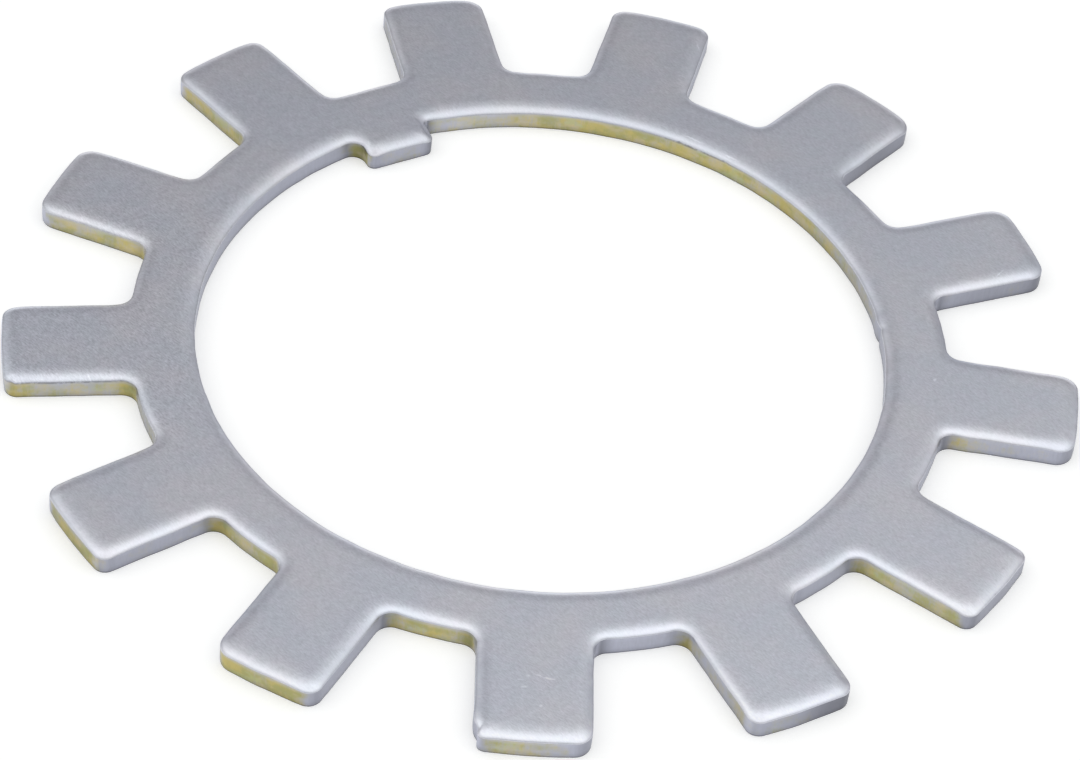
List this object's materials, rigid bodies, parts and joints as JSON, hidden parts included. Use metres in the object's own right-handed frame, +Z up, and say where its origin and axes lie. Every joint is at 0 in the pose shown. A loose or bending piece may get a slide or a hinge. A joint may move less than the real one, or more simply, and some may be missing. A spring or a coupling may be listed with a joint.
{
  "type": "lock plate",
  "caption": "Flat tab washer that locks a nut on a shaft: a ring of bend-up tabs round a keyed bore, zinc-plated sheet steel.",
  "frame": {"origin": "on the bore axis, at the plane of the underside that the plate lies on", "axes": "+Z up through the sheet along the bore axis, +Y towards the tongue, +X completes the right hand"},
  "size_m": [0.0774, 0.0769, 0.0018],
  "materials": {
    "zinc_plated_steel": "satin zinc plate on blanked steel, with a thin yellow film in patches on the sheared edges"
  },
  "bodies": {
    "root": {"lock_plate": "zinc_plated_steel"}
  },
  "joints": []
}
